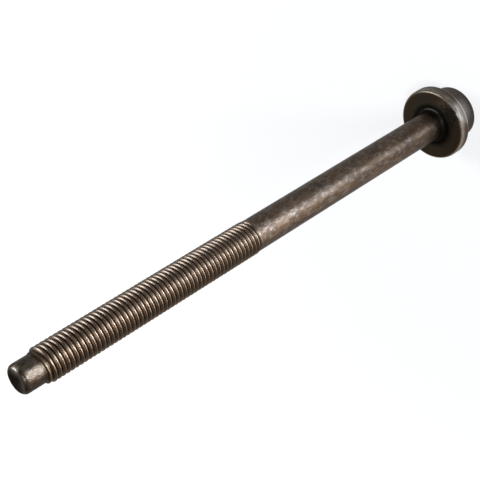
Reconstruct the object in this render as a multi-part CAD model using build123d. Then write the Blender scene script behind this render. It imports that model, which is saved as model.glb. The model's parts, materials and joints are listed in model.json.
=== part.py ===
from build123d import *
import os
from math import sqrt

# A long head bolt that stands on its head: z = 0 is the head's flat end and +Z runs up to the tip.
# All sizes are in millimetres.

# Lengths along the axis, from the head to the tip
head_height = 8.6
flange_thickness = 4.1
length_under_head = 178.2
thread_length = 77.3
lead_cone_length = 2.0
dog_length = 6.4
point_round_length = 1.4
dish_depth = 0.9

# Diameters
head_diameter = 18.7
flange_diameter = 25.7
shank_diameter = 10.5
thread_diameter = 11.0
dog_diameter = 9.0
point_face_diameter = 7.4
point_rim_width = 0.3

# Thread
thread_pitch = 1.5
runout_length = thread_pitch / 2

# Rounded edges
head_end_round = 0.3
head_foot_fillet = 0.8
flange_back_round = 0.4
flange_front_round = 1.1
under_head_fillet = 1.2

# Twelve-point drive socket: three squares, each turned by a third of a right angle from the last
socket_squares = 3
socket_point_diameter = 12.0
socket_blunt_diameter = 11.7
socket_depth = 8.0
socket_floor_drop = 1.2
socket_mouth_chamfer = 0.4

# Heights of the main steps
bearing_face_z = head_height + flange_thickness
tip_z = bearing_face_z + length_under_head
dog_base_z = tip_z - dog_length
thread_top_z = dog_base_z - lead_cone_length
thread_base_z = thread_top_z - thread_length
shank_top_z = thread_base_z - runout_length


def turned_body():
    """The solid of revolution: head, flange, shank, thread at its outer diameter and dog point."""
    head_radius = head_diameter / 2
    flange_radius = flange_diameter / 2
    shank_radius = shank_diameter / 2
    thread_radius = thread_diameter / 2
    dog_radius = dog_diameter / 2
    face_radius = point_face_diameter / 2
    corners = [
        (0, 0),
        (head_radius, 0),
        (head_radius, head_height),
        (flange_radius, head_height),
        (flange_radius, bearing_face_z),
        (shank_radius, bearing_face_z),
        (shank_radius, shank_top_z),
        (thread_radius, thread_base_z),
        (thread_radius, thread_top_z),
        (dog_radius, dog_base_z),
        (dog_radius, tip_z - point_round_length),
    ]
    rounds = [head_end_round, head_foot_fillet, flange_back_round, flange_front_round, under_head_fillet]
    sharp = [0, 0, 0, 0]
    with BuildPart() as body:
        with BuildSketch(Plane.XZ):
            with BuildLine():
                side = FilletPolyline(*corners, radius=rounds + sharp)
                point = TangentArc(side @ 1, (face_radius, tip_z), tangent=side % 1)
                Polyline(
                    point @ 1,
                    (face_radius - point_rim_width, tip_z),
                    (0, tip_z - dish_depth),
                    (0, 0),
                )
            make_face()
        revolve(axis=Axis.Z)
    return body.part


def drive_socket():
    """The twelve-point hole in the head's end, with a dished floor and a mouth bevelled at 45 degrees."""
    square_side = socket_point_diameter / sqrt(2)
    blunt_radius = socket_blunt_diameter / 2
    star = Sketch()
    for index in range(socket_squares):
        star += Rot(0, 0, index * 90 / socket_squares) * Rectangle(square_side, square_side)
    star &= Circle(blunt_radius)
    floor_radius = square_side / 2
    floor = Pos(0, 0, socket_depth) * Cone(
        floor_radius, 0, socket_floor_drop, align=(Align.CENTER, Align.CENTER, Align.MIN)
    )
    mouth_radius = blunt_radius + socket_mouth_chamfer
    mouth = Cone(mouth_radius, 0, mouth_radius, align=(Align.CENTER, Align.CENTER, Align.MIN))
    return extrude(star, socket_depth) + floor + mouth


bolt = turned_body() - drive_socket()

os.makedirs("parts", exist_ok=True)
export_step(bolt, "parts/bolt.step")
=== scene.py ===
"""The looks of a long flanged head bolt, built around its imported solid."""

import json
import math

import bmesh
import bpy
from mathutils import Matrix, Vector, noise


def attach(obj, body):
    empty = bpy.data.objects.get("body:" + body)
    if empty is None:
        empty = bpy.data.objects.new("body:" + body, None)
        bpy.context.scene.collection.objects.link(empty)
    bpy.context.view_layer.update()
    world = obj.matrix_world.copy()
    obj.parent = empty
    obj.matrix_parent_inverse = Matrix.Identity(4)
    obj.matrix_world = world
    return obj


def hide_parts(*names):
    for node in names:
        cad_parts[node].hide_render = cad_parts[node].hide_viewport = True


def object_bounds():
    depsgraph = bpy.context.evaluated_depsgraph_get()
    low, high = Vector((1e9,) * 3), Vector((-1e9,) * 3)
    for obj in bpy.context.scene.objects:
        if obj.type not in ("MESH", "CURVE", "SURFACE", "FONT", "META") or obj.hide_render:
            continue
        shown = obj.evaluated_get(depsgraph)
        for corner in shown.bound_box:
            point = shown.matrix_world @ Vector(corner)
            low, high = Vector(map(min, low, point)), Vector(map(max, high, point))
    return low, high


MM = 0.001
COLUMNS = 96
MERGE_DISTANCE = 0.0005 * MM
SHARP_ANGLE = math.radians(42)

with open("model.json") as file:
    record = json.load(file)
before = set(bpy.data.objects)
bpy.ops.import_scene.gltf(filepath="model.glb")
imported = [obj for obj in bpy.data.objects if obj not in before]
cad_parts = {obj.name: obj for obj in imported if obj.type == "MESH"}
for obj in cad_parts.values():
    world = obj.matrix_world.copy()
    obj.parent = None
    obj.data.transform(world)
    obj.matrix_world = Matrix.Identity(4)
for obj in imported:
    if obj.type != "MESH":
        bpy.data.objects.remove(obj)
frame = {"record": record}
cad_low, cad_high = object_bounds()
mounts = {mount["name"]: mount for mount in frame["record"]["mounts"]}

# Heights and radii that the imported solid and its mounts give
tip_z = cad_high.z
flange_radius = cad_high.x
bearing_face_z = mounts["bearing_face"]["pos_m"][2]
thread_radius = mounts["thread"]["dims"]["r_mm"] * MM
thread_half_length = mounts["thread"]["dims"]["length_mm"] * MM / 2
thread_top_z = mounts["thread"]["pos_m"][2] + thread_half_length
thread_base_z = mounts["thread"]["pos_m"][2] - thread_half_length

# Head and flange
head_radius = 9.35 * MM
head_end_round = 0.3 * MM
head_foot_fillet = 0.8 * MM
flange_thickness = 4.1 * MM
flange_back_round = 0.4 * MM
flange_front_round = 1.1 * MM
flange_back_z = bearing_face_z - flange_thickness

# Twelve-point drive socket
socket_points = 12
socket_half_square = 12.0 * MM / math.sqrt(2) / 2
socket_blunt_radius = 5.85 * MM
socket_mouth_radius = 6.25 * MM
socket_depth = 8.0 * MM
socket_floor_drop = 1.2 * MM

# Shank
shank_radius = 5.25 * MM
under_head_fillet = 1.2 * MM
shank_foot_z = bearing_face_z + under_head_fillet
shank_ring_spacing = 1.0 * MM
shank_unevenness = 0.012 * MM
unevenness_size = 2.5 * MM
axial_squeeze = 0.4

# Thread, with the offsets from its crest, in pitches, along which the rows of points run
pitch = 1.5 * MM
first_crest_z = 0.93 * MM
thread_depth = 0.6134 * pitch
flank_slope = math.sqrt(3)
crest_half_width = 0.13 * pitch
root_round_start = 0.385
crest_wear = 0.04 * MM
crest_wear_size = 2 * MM
runout_length = 0.9 * pitch
thread_samples = (-0.5, -0.44, -0.385, -0.18, -0.09, 0.0, 0.09, 0.18, 0.385, 0.44)

# Dog point
dog_radius = 4.5 * MM
dog_length = 6.4 * MM
point_round_length = 1.4 * MM
point_face_radius = 3.7 * MM
point_rim_width = 0.3 * MM
dish_depth = 0.9 * MM
dog_base_z = tip_z - dog_length

# The stretch of the axis that the helical rows cover, a little past the run-out and the lead cone
helix_low_z = thread_base_z - runout_length - 0.2 * MM
helix_high_z = dog_base_z + 0.3 * MM

# Linear colours of the steel's skin, its dirt, its rust and its painted shade
DARK_OXIDE = (0.073, 0.050, 0.036)
BROWN_OXIDE = (0.103, 0.068, 0.041)
GREY_OXIDE = (0.160, 0.128, 0.106)
SPECK_STEEL = (0.285, 0.252, 0.236)
BARE_STEEL = (0.42, 0.362, 0.305)
POINT_OXIDE = (0.037, 0.025, 0.0145)
# Dirt with painted shade deep in the thread's grooves
GROOVE_DIRT_AND_SHADE = (0.070, 0.043, 0.022)
FLANK_STEEL = (0.28, 0.206, 0.150)
CREST_STEEL = (0.150, 0.112, 0.083)
FACE_OXIDE = (0.160, 0.121, 0.080)
HEAD_GREY = (0.128, 0.115, 0.102)
# Painted shade round the shank's foot, on the bearing face and on the shank next to the flange
CORNER_SHADE = (0.010, 0.008, 0.005)
RUST = (0.17, 0.07, 0.035)

# The main lamps are a little cooler than the light from the left, the room and the floor
COOL_WHITE = (0.885, 1.0, 1.145)
WARM_WHITE = (1.0, 0.89, 0.77)

# Slots of the mesh's materials
HEAD_SLOT, SHANK_SLOT, THREAD_SLOT, POINT_SLOT = range(4)

# Sockets through which a mix node takes and gives colours
FIRST_COLOR, SECOND_COLOR, MIXED_COLOR = 6, 7, 2

OIL_ROUGHNESS = 0.3


def column_angle(column):
    return 2 * math.pi * column / COLUMNS


def round_row(radius, z):
    """One closed row of points round the axis."""
    return [
        Vector((radius * math.cos(column_angle(i)), radius * math.sin(column_angle(i)), z))
        for i in range(COLUMNS)
    ]


def arc_rows(centre_radius, centre_z, radius, start, end, steps):
    """Rows along an arc of the half section, with its angles in degrees from the outward direction."""
    rows = []
    for step in range(steps + 1):
        angle = math.radians(start + (end - start) * step / steps)
        rows.append(round_row(centre_radius + radius * math.cos(angle), centre_z + radius * math.sin(angle)))
    return rows


def straight_rows(radius, low_z, high_z, spacing):
    count = max(1, round((high_z - low_z) / spacing))
    return [round_row(radius, low_z + (high_z - low_z) * i / count) for i in range(count + 1)]


def flat_rows(inner_radius, outer_radius, z, count):
    return [round_row(inner_radius + (outer_radius - inner_radius) * i / count, z) for i in range(count + 1)]


def socket_wall_radius(angle):
    """Distance from the axis to the twelve-point wall in one direction."""
    step = 2 * math.pi / socket_points
    offset = abs((angle + step / 2) % step - step / 2)
    return min(socket_half_square / math.cos(step + offset), socket_blunt_radius)


def socket_rows():
    """From the middle of the socket's floor out to the rim of its mouth."""
    wall = [socket_wall_radius(column_angle(i)) for i in range(COLUMNS)]
    floor_middle = round_row(0.0, socket_depth + socket_floor_drop)
    floor_edge = []
    bevel_edge = []
    for i, radius in enumerate(wall):
        across = Vector((math.cos(column_angle(i)), math.sin(column_angle(i)), 0)) * radius
        floor_edge.append(across + Vector((0, 0, socket_depth)))
        bevel_edge.append(across + Vector((0, 0, socket_mouth_radius - radius)))
    return [floor_middle, floor_edge, bevel_edge]


def head_rows():
    """From the mouth of the socket over the head and the flange to the foot of the shank."""
    end_edge = head_radius - head_end_round
    rows = flat_rows(socket_mouth_radius, end_edge, 0.0, count=2)
    rows += arc_rows(end_edge, head_end_round, head_end_round, start=-90, end=0, steps=5)
    head_foot_z = flange_back_z - head_foot_fillet
    rows += straight_rows(head_radius, head_end_round, head_foot_z, spacing=1.2 * MM)
    foot_edge = head_radius + head_foot_fillet
    rows += arc_rows(foot_edge, head_foot_z, head_foot_fillet, start=180, end=90, steps=5)
    back_edge = flange_radius - flange_back_round
    rows += flat_rows(foot_edge, back_edge, flange_back_z, count=3)
    wall_low_z = flange_back_z + flange_back_round
    rows += arc_rows(back_edge, wall_low_z, flange_back_round, start=-90, end=0, steps=4)
    wall_high_z = bearing_face_z - flange_front_round
    rows += straight_rows(flange_radius, wall_low_z, wall_high_z, spacing=0.8 * MM)
    front_edge = flange_radius - flange_front_round
    rows += arc_rows(front_edge, wall_high_z, flange_front_round, start=0, end=90, steps=7)
    fillet_edge = shank_radius + under_head_fillet
    rows += flat_rows(front_edge, fillet_edge, bearing_face_z, count=6)
    rows += arc_rows(fillet_edge, shank_foot_z, under_head_fillet, start=270, end=180, steps=6)
    return rows


def shank_rows():
    return straight_rows(shank_radius, shank_foot_z, helix_low_z, shank_ring_spacing)


def dog_rows():
    """From the top of the helical rows to the middle of the dished end face."""
    dish_rings = 5
    point_base_z = tip_z - point_round_length
    rows = straight_rows(dog_radius, helix_high_z, point_base_z, spacing=0.8 * MM)
    drop = dog_radius - point_face_radius
    round_radius = (point_round_length ** 2 + drop ** 2) / (2 * drop)
    end_angle = math.degrees(math.asin(point_round_length / round_radius))
    rows += arc_rows(dog_radius - round_radius, point_base_z, round_radius, start=0, end=end_angle, steps=7)
    dish_radius = point_face_radius - point_rim_width
    rows += flat_rows(point_face_radius, dish_radius, tip_z, count=2)
    for ring in range(1, dish_rings + 1):
        share = ring / dish_rings
        rows.append(round_row(dish_radius * (1 - share), tip_z - dish_depth * share))
    return rows


def thread_profile(offset):
    """Depth of the thread's surface under its crest, at an offset from the crest in pitches."""
    distance = abs(offset)
    flank_depth = max(0.0, distance * pitch - crest_half_width) * flank_slope
    if distance <= root_round_start:
        return flank_depth
    start_depth = (root_round_start * pitch - crest_half_width) * flank_slope
    share = (distance - root_round_start) / (0.5 - root_round_start)
    return start_depth + (thread_depth - start_depth) * math.sin(share * math.pi / 2)


def smooth_step(value):
    value = min(1.0, max(0.0, value))
    return value * value * (3 - 2 * value)


def helix_radius(offset, angle, z):
    """Radius of the threaded stretch, with its run-out at the shank and its cone at the dog point."""
    if z >= dog_base_z:
        return dog_radius
    crest_z = z - offset * pitch
    lead_share = min(1.0, max(0.0, (crest_z - thread_top_z) / (dog_base_z - thread_top_z)))
    crest_radius = thread_radius + (dog_radius - thread_radius) * lead_share
    wear_place = Vector((math.cos(angle), math.sin(angle), z / crest_wear_size))
    wear = crest_wear * (0.5 + 0.5 * noise.noise(wear_place))
    radius = max(dog_radius, crest_radius - max(thread_profile(offset), wear))
    fade = smooth_step((thread_base_z - z) / runout_length)
    return radius + (shank_radius - radius) * fade


def helix_rows():
    """Rows that climb one pitch a turn, so that each runs along the crest, a flank or the root."""
    rows = []
    first_turn = math.floor(helix_low_z / pitch) - 2
    last_turn = math.ceil(helix_high_z / pitch) + 1
    for turn in range(first_turn, last_turn + 1):
        for offset in thread_samples:
            row = []
            for i in range(COLUMNS):
                angle = column_angle(i)
                z = first_crest_z + (turn + offset + i / COLUMNS) * pitch
                z = min(helix_high_z, max(helix_low_z, z))
                radius = shank_radius if z <= helix_low_z else helix_radius(offset, angle, z)
                row.append(Vector((radius * math.cos(angle), radius * math.sin(angle), z)))
            rows.append(row)
    return rows


def add_rows(vertices, faces, materials, rows, material, climb=0):
    """Joins each row to the next. With a climb, a row's end meets the start of a row that many places on."""
    base = len(vertices)
    for row in rows:
        vertices.extend(row)
    for k in range(len(rows) - 1):
        for i in range(COLUMNS):
            if i < COLUMNS - 1:
                near, far = k * COLUMNS + i + 1, (k + 1) * COLUMNS + i + 1
            elif k + climb + 1 < len(rows):
                near, far = (k + climb) * COLUMNS, (k + climb + 1) * COLUMNS
            else:
                continue
            faces.append((base + k * COLUMNS + i, base + near, base + far, base + (k + 1) * COLUMNS + i))
            materials.append(material)


def unevenness(point):
    """A slight waviness of the shank, as on a forged and coated bolt."""
    place = Vector((point.x, point.y, point.z * axial_squeeze)) / unevenness_size
    return shank_unevenness * noise.noise(place)


def bolt_mesh():
    """The whole bolt in one closed mesh."""
    vertices, faces, materials = [], [], []
    add_rows(vertices, faces, materials, socket_rows() + head_rows(), HEAD_SLOT)
    shank = shank_rows()
    for row in shank[1:-1]:
        for point in row:
            outward = Vector((point.x, point.y, 0)).normalized()
            point += outward * (unevenness(point) - shank_unevenness / 2)
    add_rows(vertices, faces, materials, shank, SHANK_SLOT)
    add_rows(vertices, faces, materials, helix_rows(), THREAD_SLOT, climb=len(thread_samples))
    add_rows(vertices, faces, materials, dog_rows(), POINT_SLOT)
    mesh = bpy.data.meshes.new("bolt_body")
    mesh.from_pydata([tuple(v) for v in vertices], [], faces)
    mesh.polygons.foreach_set("material_index", materials)
    clean = bmesh.new()
    clean.from_mesh(mesh)
    bmesh.ops.remove_doubles(clean, verts=clean.verts, dist=MERGE_DISTANCE)
    bmesh.ops.dissolve_degenerate(clean, edges=clean.edges, dist=MERGE_DISTANCE)
    loose = [v for v in clean.verts if not v.link_faces]
    bmesh.ops.delete(clean, geom=loose, context="VERTS")
    bmesh.ops.recalc_face_normals(clean, faces=clean.faces)
    clean.to_mesh(mesh)
    clean.free()
    mesh.polygons.foreach_set("use_smooth", [True] * len(mesh.polygons))
    mesh.set_sharp_from_angle(angle=SHARP_ANGLE)
    return mesh


class Shading:
    """Adds nodes to one material, each fed by other nodes or by plain numbers."""

    def __init__(self, name):
        self.material = bpy.data.materials.new(name)
        self.material.use_nodes = True
        self.tree = self.material.node_tree
        self.shader = self.tree.nodes["Principled BSDF"]
        self.place = self.tree.nodes.new("ShaderNodeTexCoord").outputs["Object"]
        split = self.tree.nodes.new("ShaderNodeSeparateXYZ")
        self.tree.links.new(self.place, split.inputs[0])
        self.height = split.outputs["Z"]
        across_squared = self.times(split.outputs["X"], split.outputs["X"])
        deep_squared = self.times(split.outputs["Y"], split.outputs["Y"])
        self.radius = self.math("SQRT", self.math("ADD", across_squared, deep_squared))

    def feed(self, socket, value):
        """Links a node's output to the socket, or sets the socket to a number or a colour."""
        if isinstance(value, bpy.types.NodeSocket):
            self.tree.links.new(value, socket)
        elif isinstance(value, tuple) and len(value) == 3 and socket.type == "RGBA":
            socket.default_value = (*value, 1)
        else:
            socket.default_value = value

    def math(self, operation, *values):
        node = self.tree.nodes.new("ShaderNodeMath")
        node.operation = operation
        for socket, value in zip(node.inputs, values):
            self.feed(socket, value)
        return node.outputs[0]

    def times(self, first, second):
        return self.math("MULTIPLY", first, second)

    def most(self, first, second):
        return self.math("MAXIMUM", first, second)

    def noise(self, feature_size, detail=3.0, roughness=0.5, stretch=(1, 1, 1), shift=0.0):
        """Cloudy noise between 0 and 1 whose features have about the given size."""
        mapping = self.tree.nodes.new("ShaderNodeMapping")
        mapping.inputs["Location"].default_value = (shift, shift, shift)
        mapping.inputs["Scale"].default_value = [1 / (feature_size * share) for share in stretch]
        self.tree.links.new(self.place, mapping.inputs["Vector"])
        node = self.tree.nodes.new("ShaderNodeTexNoise")
        node.inputs["Scale"].default_value = 1.0
        node.inputs["Detail"].default_value = detail
        node.inputs["Roughness"].default_value = roughness
        self.tree.links.new(mapping.outputs[0], node.inputs["Vector"])
        return node.outputs["Fac"]

    def fade(self, value, low, high):
        """Climbs smoothly from 0 where the value is low to 1 where it is high."""
        node = self.tree.nodes.new("ShaderNodeMapRange")
        node.interpolation_type = "SMOOTHSTEP"
        self.feed(node.inputs["Value"], value)
        self.feed(node.inputs["From Min"], low)
        self.feed(node.inputs["From Max"], high)
        return node.outputs["Result"]

    def between(self, share, first, second):
        """A number between two others."""
        node = self.tree.nodes.new("ShaderNodeMapRange")
        self.feed(node.inputs["Value"], share)
        self.feed(node.inputs["To Min"], first)
        self.feed(node.inputs["To Max"], second)
        return node.outputs["Result"]

    def blend(self, share, first, second):
        """A colour between two others."""
        node = self.tree.nodes.new("ShaderNodeMix")
        node.data_type = "RGBA"
        self.feed(node.inputs["Factor"], share)
        self.feed(node.inputs[FIRST_COLOR], first)
        self.feed(node.inputs[SECOND_COLOR], second)
        return node.outputs[MIXED_COLOR]

    def near_ring(self, radius, z, reach):
        """1 on a ring round the axis, falling to 0 at the given distance from it."""
        off_radius = self.math("SUBTRACT", self.radius, radius)
        off_height = self.math("SUBTRACT", self.height, z)
        squares = self.math("ADD", self.math("POWER", off_radius, 2.0), self.math("POWER", off_height, 2.0))
        return self.fade(self.math("SQRT", squares), reach, 0.0)

    def near_point(self, point, reach, ragged):
        """1 at a point, falling to 0 at about the given distance, with an edge made ragged by some noise."""
        node = self.tree.nodes.new("ShaderNodeVectorMath")
        node.operation = "DISTANCE"
        self.tree.links.new(self.place, node.inputs[0])
        node.inputs[1].default_value = point
        wobble = self.times(self.math("SUBTRACT", ragged, 0.5), 2 * reach)
        full_reach = 0.4 * reach
        return self.fade(self.math("ADD", node.outputs["Value"], wobble), reach, full_reach)

    def finish(self, color, roughness, relief, relief_depth, oil):
        """Feeds the metal's shader, under a thin film of oil, and returns the material."""
        self.shader.inputs["Metallic"].default_value = 1.0
        self.shader.inputs["Coat Weight"].default_value = oil
        self.shader.inputs["Coat Roughness"].default_value = OIL_ROUGHNESS
        self.feed(self.shader.inputs["Base Color"], color)
        self.feed(self.shader.inputs["Roughness"], roughness)
        bump = self.tree.nodes.new("ShaderNodeBump")
        bump.inputs["Distance"].default_value = relief_depth
        self.feed(bump.inputs["Height"], relief)
        self.tree.links.new(bump.outputs[0], self.shader.inputs["Normal"])
        return self.material


def on_circle(radius, degrees, z):
    """A place on a circle round the axis."""
    angle = math.radians(degrees)
    return (radius * math.cos(angle), radius * math.sin(angle), z)


def oxide_skin(shade):
    """The mottled skin of the whole bolt: dark grey and brown patches with fine lighter specks."""
    patches = shade.noise(4 * MM, detail=5, roughness=0.6, stretch=(1, 1, 3.0))
    mottle = shade.noise(1.1 * MM, detail=5, roughness=0.62, stretch=(1, 1, 1.8), shift=3.1)
    specks = shade.noise(0.4 * MM, detail=3, stretch=(1, 1, 2.2), shift=7.7)
    color = shade.blend(shade.fade(patches, 0.4, 0.6), DARK_OXIDE, BROWN_OXIDE)
    color = shade.blend(shade.fade(mottle, 0.45, 0.7), color, GREY_OXIDE)
    return color, mottle, specks


def shank_steel():
    """The plain shank: oiled oxide, worn through in fine specks, with painted shade where it meets the
    flange.
    """
    bare_share = 0.45
    flange_shade_share = 0.8
    dull, polished = 0.55, 0.3
    shade = Shading("shank_steel")
    color, mottle, specks = oxide_skin(shade)
    bare = shade.times(shade.fade(specks, 0.5, 0.7), shade.fade(mottle, 0.4, 0.6))
    color = shade.blend(shade.times(bare, bare_share), color, SPECK_STEEL)
    # Painted shade: the shank darkens towards the flange
    shade_near_flange = shade.fade(shade.height, bearing_face_z + 6 * MM, bearing_face_z + 0.5 * MM)
    color = shade.blend(shade.times(shade_near_flange, flange_shade_share), color, CORNER_SHADE)
    roughness = shade.between(specks, dull, polished)
    relief = shade.math("ADD", mottle, specks)
    return shade.finish(color, roughness, relief, relief_depth=0.042 * MM, oil=0.15)


def point_steel():
    """The dog point: darker than the rest, scuffed in small patches, with its rim worn bright and one scuff
    on it that is also a painted highlight.
    """
    dark_share = 0.84
    scuff_share = 0.14
    rim_share = 0.35
    rim_glint_share = 0.6
    dull, polished = 0.5, 0.32
    shade = Shading("point_steel")
    color, mottle, specks = oxide_skin(shade)
    color = shade.blend(dark_share, color, POINT_OXIDE)
    scuffs = shade.fade(mottle, 0.45, 0.6)
    color = shade.blend(shade.times(scuffs, scuff_share), color, SPECK_STEEL)
    inside_rim = shade.fade(shade.radius, point_face_radius - 0.3 * MM, point_face_radius - 0.5 * MM)
    near_end = shade.fade(shade.height, tip_z - 1.5 * MM, tip_z - 1.0 * MM)
    color = shade.blend(shade.times(inside_rim, near_end), color, POINT_OXIDE)
    rim = shade.times(shade.near_ring(point_face_radius, tip_z, 0.45 * MM), rim_share)
    # A scuff on one side of the rim, which is also a painted highlight
    rim_glint_place = on_circle(4.0 * MM, -43, tip_z - 0.25 * MM)
    rim_scuff_and_highlight = shade.times(shade.near_point(rim_glint_place, 1.6 * MM, mottle), rim_glint_share)
    color = shade.blend(shade.most(rim, rim_scuff_and_highlight), color, BARE_STEEL)
    roughness = shade.between(mottle, dull, polished)
    relief = shade.math("ADD", mottle, specks)
    return shade.finish(color, roughness, relief, relief_depth=0.05 * MM, oil=0.18)


def thread_steel():
    """Flanks worn bright, duller crests, dirt with painted shade in the grooves, painted shade at the run-out
    and dirt on the lead cone.
    """
    runout_shade_share = 0.5
    dull, polished = 0.42, 0.26
    shade = Shading("thread_steel")
    mottle = shade.noise(1.1 * MM, detail=5, roughness=0.62, shift=3.1)
    specks = shade.noise(0.4 * MM, detail=3, shift=7.7)
    grain = shade.times(shade.math("SUBTRACT", mottle, 0.5), 0.3 * MM)
    worn_radius = shade.math("ADD", shade.radius, grain)
    out_of_groove = shade.fade(worn_radius, thread_radius - 0.75 * MM, thread_radius - 0.25 * MM)
    on_crest = shade.fade(worn_radius, thread_radius - 0.2 * MM, thread_radius - 0.08 * MM)
    # Dirt with painted shade deep in the grooves
    color = shade.blend(out_of_groove, GROOVE_DIRT_AND_SHADE, FLANK_STEEL)
    color = shade.blend(on_crest, color, CREST_STEEL)
    on_cone = shade.fade(shade.height, thread_top_z + 1.4 * MM, thread_top_z + 1.7 * MM)
    # Painted shade at the run-out, in the point's dark colour
    runout_shade = shade.fade(shade.height, thread_base_z - 0.3 * MM, thread_base_z - 0.7 * MM)
    past_thread = shade.most(on_cone, shade.times(runout_shade, runout_shade_share))
    color = shade.blend(past_thread, color, POINT_OXIDE)
    roughness = shade.between(out_of_groove, dull, shade.between(specks, dull, polished))
    return shade.finish(color, roughness, specks, relief_depth=0.02 * MM, oil=0.14)


def wall_wear_and_highlight(shade, scuffs):
    """Scuffs on the flange's wall, more of them towards the front, and a painted highlight on the side
    towards the lamps on the floor.
    """
    front_share = 0.6
    wall_highlight_share = 0.85
    towards_front = shade.fade(shade.height, flange_back_z + 1.2 * MM, bearing_face_z - 0.9 * MM)
    wear = shade.times(shade.between(towards_front, 0.0, front_share), shade.fade(scuffs, 0.3, 0.62))
    # Painted highlight on the wall's side towards the lamps on the floor
    place_of_wall_highlight = on_circle(flange_radius, 216, bearing_face_z)
    highlight_on_wall = shade.times(shade.near_point(place_of_wall_highlight, 9 * MM, scuffs), towards_front)
    return shade.most(wear, shade.times(highlight_on_wall, wall_highlight_share))


def corner_shade(shade, mottle):
    """Painted shade on the bearing face round the shank's foot, heaviest on the side towards the camera."""
    side_shade_share = 0.85
    round_foot = shade.fade(shade.radius, shank_radius + 4.8 * MM, shank_radius + 1.5 * MM)
    shade_centre = (-1.2 * MM, -9.0 * MM, bearing_face_z)
    shaded_side = shade.times(shade.near_point(shade_centre, 5.5 * MM, mottle), side_shade_share)
    off_wall = shade.fade(shade.height, bearing_face_z - 0.5 * MM, bearing_face_z - 0.1 * MM)
    return shade.times(shade.most(round_foot, shaded_side), off_wall)


def fillet_highlight(shade, mottle):
    """A painted highlight on one stretch of the fillet between the bearing face and the shank."""
    glint_radius = shank_radius + 0.75 * MM
    fillet_edge = shade.near_ring(glint_radius, bearing_face_z + 0.09 * MM, 0.25 * MM)
    glint_place = on_circle(glint_radius, -38, bearing_face_z)
    return shade.times(fillet_edge, shade.near_point(glint_place, 4.5 * MM, mottle))


def head_steel():
    """Turned flange and head: scuffed wall, dark bearing face, worn edges, one spot of rust, painted shade
    round the shank's foot and painted highlights on the wall and the fillet.
    """
    grey_share = 0.65
    dark_wall_share = 0.5
    back_edge_share = 0.8
    front_edge_share = 0.6
    glint_share = 0.15
    rust_share = 0.8
    turning_mark_spacing = 0.45 * MM
    shade = Shading("head_steel")
    skin, mottle, _ = oxide_skin(shade)
    scuffs = shade.noise(0.9 * MM, detail=4, stretch=(2.5, 2.5, 0.5), shift=11.3)
    on_face = shade.fade(shade.height, bearing_face_z - 0.25 * MM, bearing_face_z - 0.1 * MM)
    on_wall = shade.fade(shade.radius, flange_radius - 0.5 * MM, flange_radius - 0.35 * MM)
    back_edge = shade.near_ring(flange_radius, flange_back_z + 0.2 * MM, 0.5 * MM)
    back_edge = shade.times(back_edge, back_edge_share)
    front_edge = shade.near_ring(flange_radius - 0.47 * MM, bearing_face_z - 0.2 * MM, 0.22 * MM)
    edges = shade.most(back_edge, shade.times(front_edge, front_edge_share))
    # Bare steel on the scuffs and edges, and on the wall also a painted highlight
    bare = shade.most(shade.times(on_wall, wall_wear_and_highlight(shade, scuffs)), edges)
    in_corner = corner_shade(shade, mottle)
    fillet_glint = fillet_highlight(shade, mottle)
    rust_place = on_circle(flange_radius, 234, 10.2 * MM)
    rusty = shade.times(shade.near_point(rust_place, 1.2 * MM, mottle), rust_share)

    color = shade.blend(grey_share, skin, HEAD_GREY)
    color = shade.blend(shade.times(on_wall, dark_wall_share), color, DARK_OXIDE)
    color = shade.blend(on_face, color, FACE_OXIDE)
    color = shade.blend(bare, color, BARE_STEEL)
    # Painted shade round the shank's foot, heaviest on the side towards the camera
    color = shade.blend(in_corner, color, CORNER_SHADE)
    # Painted highlight on one stretch of the fillet
    color = shade.blend(shade.times(fillet_glint, glint_share), color, BARE_STEEL)
    color = shade.blend(rusty, color, RUST)

    turning_marks = shade.math("SINE", shade.times(shade.radius, 2 * math.pi / turning_mark_spacing))
    face_roughness = shade.between(turning_marks, 0.3, 0.34)
    wall_roughness = shade.between(scuffs, 0.44, 0.3)
    side_roughness = shade.between(on_wall, 0.5, wall_roughness)
    side_roughness = shade.between(back_edge, side_roughness, 0.6)
    roughness = shade.between(on_face, side_roughness, face_roughness)
    roughness = shade.between(in_corner, roughness, shade.between(fillet_glint, 0.62, 0.46))
    relief = shade.between(on_face, shade.math("ADD", mottle, scuffs), 1.0)
    return shade.finish(color, roughness, relief, relief_depth=0.03 * MM, oil=0.15)


def add_bolt():
    mesh = bolt_mesh()
    bolt = bpy.data.objects.new("bolt_body", mesh)
    bpy.context.scene.collection.objects.link(bolt)
    mesh.materials.append(head_steel())
    mesh.materials.append(shank_steel())
    mesh.materials.append(thread_steel())
    mesh.materials.append(point_steel())
    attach(bolt, "root")
    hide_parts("bolt")


def warm_but_white_to_camera(tree, path):
    """A colour that is warm in what the steel mirrors and plain white where the camera looks."""
    mix = tree.nodes.new("ShaderNodeMix")
    mix.data_type = "RGBA"
    mix.inputs[FIRST_COLOR].default_value = (*WARM_WHITE, 1)
    mix.inputs[SECOND_COLOR].default_value = (1, 1, 1, 1)
    tree.links.new(path.outputs["Is Camera Ray"], mix.inputs["Factor"])
    return mix.outputs[MIXED_COLOR]


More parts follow.
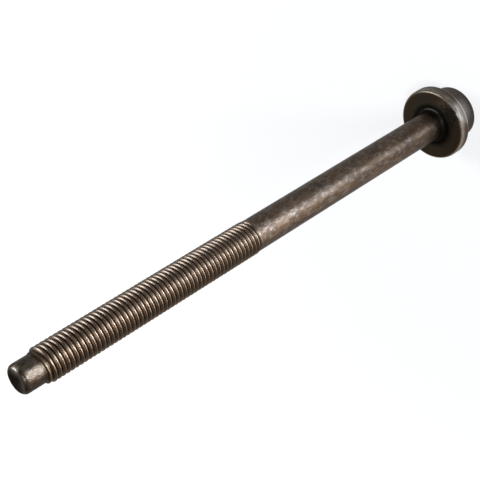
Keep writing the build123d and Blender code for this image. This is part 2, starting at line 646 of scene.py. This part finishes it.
def floor_white():
    """White to the camera, a little less so close round the bolt, where its shadow falls."""
    sheet_grey = 0.32
    near_distance, far_distance = 0.06, 0.4
    near_glow, far_glow = 0.77, 0.96
    mirrored_glow = 0.24
    shade = Shading("floor_white")
    shade.shader.inputs["Base Color"].default_value = (sheet_grey, sheet_grey, sheet_grey, 1)
    shade.shader.inputs["Roughness"].default_value = 0.9
    shade.shader.inputs["Specular IOR Level"].default_value = 0.0
    path = shade.tree.nodes.new("ShaderNodeLightPath")
    mirrored = shade.most(path.outputs["Is Glossy Ray"], path.outputs["Is Transmission Ray"])
    away_from_bolt = shade.fade(shade.radius, near_distance, far_distance)
    own_light = shade.between(away_from_bolt, near_glow, far_glow)
    to_camera = shade.times(path.outputs["Is Camera Ray"], own_light)
    glow = shade.math("MULTIPLY_ADD", mirrored, mirrored_glow, to_camera)
    shade.feed(shade.shader.inputs["Emission Strength"], glow)
    shade.feed(shade.shader.inputs["Emission Color"], warm_but_white_to_camera(shade.tree, path))
    return shade.material


def add_floor():
    """A pale sheet that the bolt stands on."""
    half = 3.0
    corners = [(-half, -half, 0), (half, -half, 0), (half, half, 0), (-half, half, 0)]
    mesh = bpy.data.meshes.new("floor")
    mesh.from_pydata(corners, [], [(0, 1, 2, 3)])
    mesh.materials.append(floor_white())
    floor = bpy.data.objects.new("floor", mesh)
    bpy.context.scene.collection.objects.link(floor)


def add_panel(name, centre, facing, across, width, length, radiance, tint=COOL_WHITE):
    """A rectangular soft light. Its radiance is how bright it looks in a mirror, where white paper is 1."""
    light = bpy.data.lights.new(name, "AREA")
    light.shape = "RECTANGLE"
    light.size = width
    light.size_y = length
    light.energy = math.pi * width * length * radiance
    light.color = tint
    back = -Vector(facing).normalized()
    side = Vector(across).normalized()
    side = (side - back * side.dot(back)).normalized()
    along = back.cross(side)
    turn = Matrix((side, along, back)).transposed().to_4x4()
    lamp = bpy.data.objects.new(name, light)
    lamp.matrix_world = Matrix.Translation(centre) @ turn
    lamp.visible_camera = False
    bpy.context.scene.collection.objects.link(lamp)


def add_floor_strip(name, azimuth, near, far, width, radiance, tint=COOL_WHITE):
    """A soft light on the floor that faces up. Its azimuth runs from the camera's side towards +X."""
    floor_gap = 0.5 * MM
    angle = math.radians(azimuth)
    outward = Vector((math.sin(angle), -math.cos(angle), 0))
    across = (math.cos(angle), math.sin(angle), 0)
    centre = outward * (near + far) / 2 + Vector((0, 0, floor_gap))
    add_panel(name, centre, (0, 0, 1), across, width, far - near, radiance, tint)


def add_softbox(name, azimuth, elevation, distance, size, radiance):
    """A square soft light that faces the middle of the bolt."""
    turn, rise = math.radians(azimuth), math.radians(elevation)
    outward = Vector((math.sin(turn) * math.cos(rise), -math.cos(turn) * math.cos(rise), math.sin(rise)))
    across = (math.cos(turn), math.sin(turn), 0)
    centre = Vector((0, 0, tip_z / 2)) + outward * distance
    add_panel(name, centre, -outward, across, size, size, radiance)


def add_lights():
    add_floor_strip("far_strip", azimuth=-14, near=0.262, far=0.85, width=0.22, radiance=34)
    add_floor_strip("near_strip", azimuth=-18, near=0.09, far=0.245, width=0.04, radiance=9)
    add_floor_strip("close_strip", azimuth=-12, near=0.012, far=0.09, width=0.016, radiance=2.2)
    add_floor_strip("left_strip", azimuth=-62, near=0.03, far=0.3, width=0.12, radiance=0.45, tint=WARM_WHITE)
    add_floor_strip(
        "far_left_strip", azimuth=-50, near=0.25, far=0.36, width=0.16, radiance=17, tint=WARM_WHITE
    )
    add_softbox("side_softbox", azimuth=108, elevation=48, distance=0.8, size=0.36, radiance=7.5)
    add_softbox("front_softbox", azimuth=-16, elevation=46, distance=1.0, size=0.23, radiance=28)


def set_world():
    """Soft light that is brighter low down, with the same white behind the bolt as on the floor."""
    low_elevation, high_elevation = math.radians(5), math.radians(30)
    low_light, high_light = 0.5, 0.11
    world = bpy.data.worlds.new("studio")
    bpy.context.scene.world = world
    world.use_nodes = True
    tree = world.node_tree
    background = tree.nodes["Background"]
    coordinates = tree.nodes.new("ShaderNodeTexCoord")
    split = tree.nodes.new("ShaderNodeSeparateXYZ")
    ramp = tree.nodes.new("ShaderNodeMapRange")
    ramp.interpolation_type = "SMOOTHSTEP"
    ramp.inputs["From Min"].default_value = math.sin(low_elevation)
    ramp.inputs["From Max"].default_value = math.sin(high_elevation)
    ramp.inputs["To Min"].default_value = low_light
    ramp.inputs["To Max"].default_value = high_light
    path = tree.nodes.new("ShaderNodeLightPath")
    strength = tree.nodes.new("ShaderNodeMath")
    strength.operation = "MAXIMUM"
    tree.links.new(coordinates.outputs["Generated"], split.inputs[0])
    tree.links.new(split.outputs["Z"], ramp.inputs["Value"])
    tree.links.new(ramp.outputs["Result"], strength.inputs[0])
    tree.links.new(path.outputs["Is Camera Ray"], strength.inputs[1])
    tree.links.new(strength.outputs[0], background.inputs["Strength"])
    tree.links.new(warm_but_white_to_camera(tree, path), background.inputs["Color"])


def add_camera():
    """The photograph's view: from above the tip's side, rolled so that the bolt lies across the frame."""
    target = Vector((0.747 * MM, 0, 107.76 * MM))
    distance = 332.0 * MM
    elevation = math.radians(34.744)
    azimuth = math.radians(0.114)
    roll = math.radians(121.6)
    away = Vector((
        math.cos(elevation) * math.sin(azimuth),
        math.cos(elevation) * math.cos(azimuth),
        -math.sin(elevation),
    ))
    right = away.cross(Vector((0, 0, 1))).normalized()
    up = right.cross(away)
    rolled_up = up * math.cos(roll) + right * math.sin(roll)
    rolled_right = away.cross(rolled_up)
    data = bpy.data.cameras.new("photo_camera")
    data.lens = 82.76
    data.sensor_width = 36.0
    data.clip_start = 0.01
    camera = bpy.data.objects.new("photo_camera", data)
    turn = Matrix((rolled_right, rolled_up, -away)).transposed().to_4x4()
    camera.matrix_world = Matrix.Translation(target - away * distance) @ turn
    bpy.context.scene.collection.objects.link(camera)
    bpy.context.scene.camera = camera


bpy.context.scene.view_settings.view_transform = "Standard"
add_bolt()
add_floor()
add_lights()
set_world()
add_camera()
